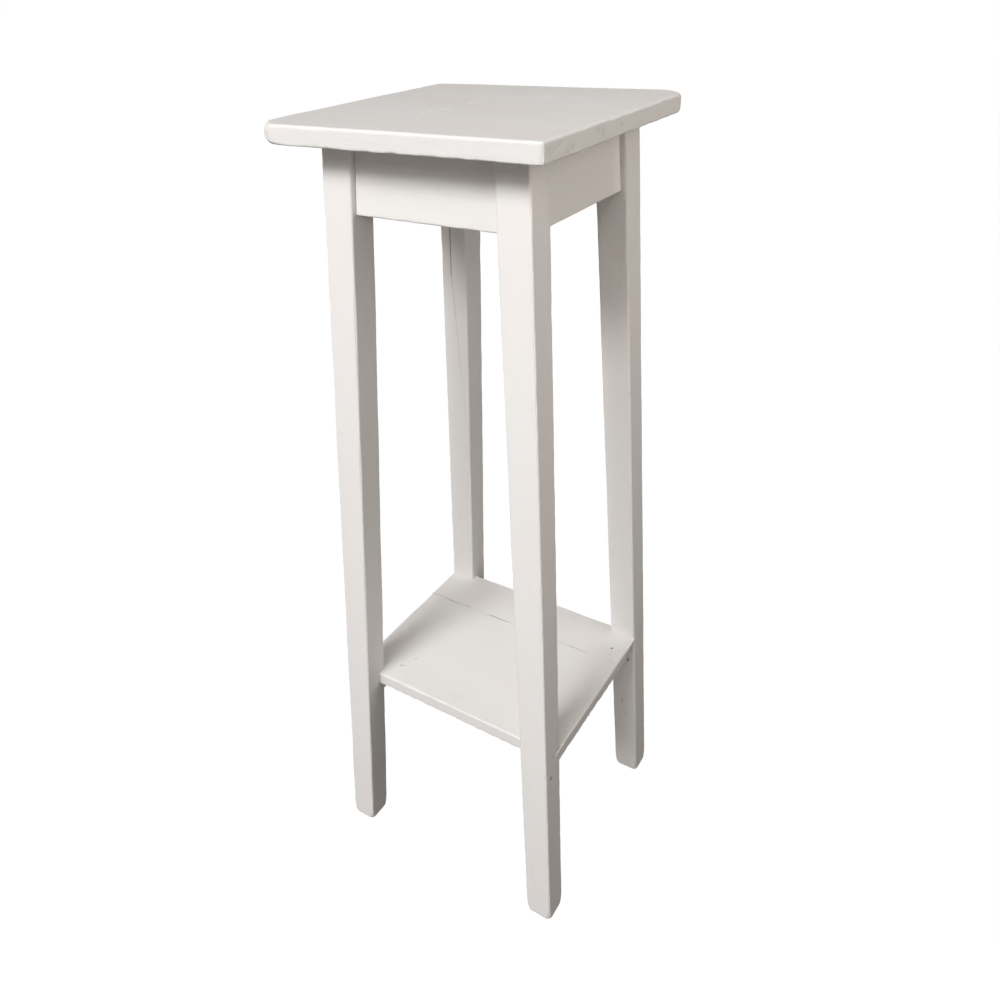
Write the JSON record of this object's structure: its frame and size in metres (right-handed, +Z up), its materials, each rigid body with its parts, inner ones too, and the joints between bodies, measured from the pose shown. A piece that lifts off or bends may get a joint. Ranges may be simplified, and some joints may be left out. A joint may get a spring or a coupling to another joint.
{
  "type": "pedestal",
  "caption": "Tall painted wooden pedestal with a square overhanging top, splayed square legs, narrow aprons and a low notched shelf of boards.",
  "frame": {"origin": "on the floor, at the centre of the rectangle round the feet", "axes": "+Z up; +X to the right and -Y to the front, as seen from in front of the wider shelf board"},
  "size_m": [0.31, 0.296, 0.9],
  "materials": {
    "top_paint": "satin off-white paint over softwood, grain along X",
    "leg_paint": "satin off-white paint over softwood, grain along the leg",
    "apron_paint": "satin off-white paint over softwood, grain along the apron",
    "shelf_paint": "satin off-white paint over softwood, grain along X, worn at the edges",
    "bare_pine": "bare planed pine, slightly darkened",
    "dowel_beech": "bare turned beech",
    "screw_steel": "yellow passivated",
    "nail_steel": "dull wire nail"
  },
  "bodies": {
    "root": {"top_board": "top_paint", "leg_front_left": "leg_paint", "leg_front_right": "leg_paint", "leg_rear_left": "leg_paint", "leg_rear_right": "leg_paint", "apron_front": "apron_paint", "apron_rear": "apron_paint", "apron_left": "apron_paint", "apron_right": "apron_paint", "block_front_left": "bare_pine", "block_front_right": "bare_pine", "block_rear_left": "bare_pine", "block_rear_right": "bare_pine", "shelf_board_front": "shelf_paint", "shelf_board_rear": "shelf_paint", "shelf_cleat_left": "shelf_paint", "shelf_cleat_right": "shelf_paint", "apron_dowels": "dowel_beech", "cleat_dowels": "dowel_beech", "top_screws": "screw_steel", "shelf_nails": "nail_steel"}
  },
  "joints": []
}
